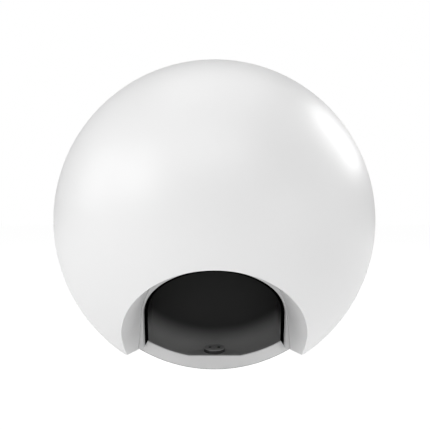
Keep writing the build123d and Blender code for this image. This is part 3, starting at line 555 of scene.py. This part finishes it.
def build_winding():
    """Close turns of round wire on a former that lies along Z."""
    tree, given, out = geometry_tree("wire_winding", (
        ("Turns", FLOAT, 20.0), ("Radius", FLOAT, 0.008), ("Height", FLOAT, 0.006),
        ("Wire radius", FLOAT, 0.0001), ("Steps", WHOLE, 48)))
    spiral = tree_node(tree, "GeometryNodeCurveSpiral", Resolution=given["Steps"],
                       Rotations=given["Turns"], Start_Radius=given["Radius"],
                       End_Radius=given["Radius"], Height=given["Height"])
    wire = tree_node(tree, "GeometryNodeCurvePrimitiveCircle", Resolution=6, Radius=given["Wire radius"])
    tube = tree_node(tree, "GeometryNodeCurveToMesh", Curve=spiral.outputs[0],
                     Profile_Curve=wire.outputs[0], Fill_Caps=True)
    finish_tree(tree, tube.outputs[0], given["Finish"], out)
    return tree


def grow(name, tree, settings, finish, place, body):
    """Run a geometry node tree once, put its plain mesh in place and let it ride on a body."""
    seedling = bpy.data.objects.new(name + "_seed", bpy.data.meshes.new(name + "_seed"))
    scene.collection.objects.link(seedling)
    modifier = seedling.modifiers.new("grow", "NODES")
    modifier.node_group = tree
    values = {**settings, "Finish": finish}
    for item in tree.interface.items_tree:
        if item.in_out == "INPUT":
            modifier[item.identifier] = values[item.name]
    evaluated = seedling.evaluated_get(bpy.context.evaluated_depsgraph_get())
    mesh = bpy.data.meshes.new_from_object(evaluated)
    bpy.data.objects.remove(seedling)
    mesh.transform(place)
    mesh.name = name
    piece = bpy.data.objects.new(name, mesh)
    scene.collection.objects.link(piece)
    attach(piece, body)


chip_rows = build_chip_rows()
winding = build_winding()

chip_length, chip_width, chip_height = 1.0 * MM, 0.8 * MM, 0.5 * MM
solder_length, solder_width, solder_height = 1.6 * MM, 0.76 * MM, 0.45 * MM


def chip_field(board, place, width, depth, columns, rows, left_out, seed):
    """Chip resistors on a board: black bodies, and the tinned ends that stick out of them."""
    field = {"Width": width, "Depth": depth, "Columns": columns, "Rows": rows,
             "Left out": left_out, "Seed": seed}
    chip = {"Part length": chip_length, "Part width": chip_width, "Part height": chip_height}
    ends = {"Part length": solder_length, "Part width": solder_width, "Part height": solder_height}
    grow(board + "_chips", chip_rows, {**field, **chip}, finishes["chip"], place, "body")
    grow(board + "_solder_ends", chip_rows, {**field, **ends}, finishes["tin"], place, "body")


board_low, board_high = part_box("main_board")
board_face = board_low[1] - chip_height / 2
facing_back = Matrix.Rotation(math.radians(90), 4, "X")
lower_middle = Matrix.Translation((0.0, board_face, board_low[2] + 8 * MM))
upper_middle = Matrix.Translation((19.5 * MM, board_face, board_high[2] - 11 * MM))
chip_field("lower_board", lower_middle @ facing_back, 21 * MM, 10 * MM, 9, 6, 0.3, 3)
chip_field("upper_board", upper_middle @ facing_back, 8 * MM, 9 * MM, 4, 6, 0.3, 7)
top_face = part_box("top_board")[1][2] + chip_height / 2
chip_field("top_board", Matrix.Translation((0.0, 0.0, top_face)), 8 * MM, 8 * MM, 4, 6, 0.2, 5)

coil_low, coil_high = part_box("voice_coil")
wire_radius = 0.09 * MM
coil_turns = 26
winding_start = coil_low[1] + 0.6 * MM
along_y = Matrix.Translation((0.0, winding_start, ball_centre.z)) @ Matrix.Rotation(math.radians(-90), 4, "X")
grow("voice_coil_winding", winding,
     {"Turns": float(coil_turns), "Radius": coil_high[0] + wire_radius,
      "Height": coil_turns * 2 * wire_radius, "Wire radius": wire_radius, "Steps": 40},
     finishes["copper"], along_y, "driver_cone")


# ---------------------------------------------------------------- floor, light and camera
WHITE = (1.0, 1.0, 1.0, 1.0)
floor_glow = 0.46
floor_whiteness = 0.85
floor_seen_strength = 1.08
room_front = 0.05
room_back = 0.08


def soft_box(name, power, size, place, aim):
    """An area light at a place, turned to a point."""
    light = bpy.data.lights.new(name, "AREA")
    light.shape = "RECTANGLE"
    light.size, light.size_y = size
    light.energy = power
    lamp = bpy.data.objects.new(name, light)
    lamp.location = place
    lamp.rotation_euler = (Vector(aim) - Vector(place)).to_track_quat("-Z", "Y").to_euler()
    scene.collection.objects.link(lamp)


def pale_floor():
    """Large flat floor that glows, and looks nearly white to the camera."""
    half = 6.0
    corners = [(-half, -half, 0), (half, -half, 0), (half, half, 0), (-half, half, 0)]
    mesh = bpy.data.meshes.new("pale_floor")
    mesh.from_pydata(corners, [], [(0, 1, 2, 3)])
    floor = bpy.data.objects.new("pale_floor", mesh)
    scene.collection.objects.link(floor)
    lit_paper = moulded("floor_paper", shade(0.5), 0.8, 0.002, 0.00001, 0.0, 0.004,
                        **{"Emission Strength": floor_glow, "Emission Color": WHITE})
    tree = lit_paper.node_tree
    white = tree.nodes.new("ShaderNodeEmission")
    white.inputs["Strength"].default_value = floor_seen_strength
    ray = tree.nodes.new("ShaderNodeLightPath")
    blend = tree.nodes.new("ShaderNodeMixShader")
    seen = math_node(tree, "MULTIPLY", ray.outputs["Is Camera Ray"], floor_whiteness)
    tree.links.new(seen, blend.inputs[0])
    tree.links.new(tree.nodes["Principled BSDF"].outputs[0], blend.inputs[1])
    tree.links.new(white.outputs[0], blend.inputs[2])
    tree.links.new(blend.outputs[0], tree.nodes["Material Output"].inputs["Surface"])
    mesh.materials.append(lit_paper)


def studio_room():
    """World that lights softly, brighter from behind, and is plain white to the camera."""
    world = bpy.data.worlds.new("studio")
    scene.world = world
    world.use_nodes = True
    tree = world.node_tree
    room = tree.nodes["Background"]
    room.inputs["Color"].default_value = WHITE
    direction = tree.nodes.new("ShaderNodeSeparateXYZ")
    tree.links.new(tree.nodes.new("ShaderNodeTexCoord").outputs["Generated"], direction.inputs[0])
    dimming = tree.nodes.new("ShaderNodeMapRange")
    for label, value in (("From Min", -0.2), ("From Max", 0.7),
                         ("To Min", room_front), ("To Max", room_back)):
        dimming.inputs[label].default_value = value
    tree.links.new(direction.outputs["Y"], dimming.inputs["Value"])
    tree.links.new(dimming.outputs["Result"], room.inputs["Strength"])
    backdrop = tree.nodes.new("ShaderNodeBackground")
    backdrop.inputs["Strength"].default_value = 1.0
    backdrop.inputs["Color"].default_value = WHITE
    choose = tree.nodes.new("ShaderNodeMixShader")
    seen = tree.nodes.new("ShaderNodeLightPath")
    tree.links.new(seen.outputs["Is Camera Ray"], choose.inputs[0])
    tree.links.new(room.outputs[0], choose.inputs[1])
    tree.links.new(backdrop.outputs[0], choose.inputs[2])
    tree.links.new(choose.outputs[0], tree.nodes["World Output"].inputs["Surface"])


pale_floor()
studio_room()
scene.view_settings.view_transform = "Standard"

soft_boxes = {
    "left_soft_box": (2.25, (0.35, 0.45), (-0.62, -0.50, 0.40)),
    "left_side_box": (1.35, (0.35, 0.45), (-0.80, -0.10, 0.30)),
    "right_soft_box": (2.45, (0.30, 0.40), (0.65, 0.32, 0.43)),
    "left_front_box": (0.20, (0.40, 0.40), (-0.70, -0.45, -0.02)),
    "right_front_box": (0.95, (0.40, 0.40), (0.62, -0.55, 0.02)),
    "right_side_box": (0.60, (0.35, 0.45), (0.80, -0.20, 0.10)),
    "top_soft_box": (1.50, (0.60, 0.60), (0.0, 0.0, 0.7)),
    "top_front_box": (1.20, (0.50, 0.30), (0.0, -0.50, 0.50)),
}
for name, (power, size, offset) in soft_boxes.items():
    soft_box(name, power, size, ball_centre + Vector(offset), ball_centre)

lens_mm = 35.25
eye_distance = 2.8 * ball_radius
camera = bpy.data.cameras.new("camera")
camera.lens = lens_mm
camera.sensor_width = 36.0
camera.clip_start = 0.01
camera.shift_x = 0.0014
camera.shift_y = 0.0126
eye = bpy.data.objects.new("camera", camera)
eye.location = ball_centre + Vector((0.0, -eye_distance, 0.0))
eye.rotation_euler = (math.pi / 2, 0.0, 0.0)
scene.collection.objects.link(eye)
scene.camera = eye
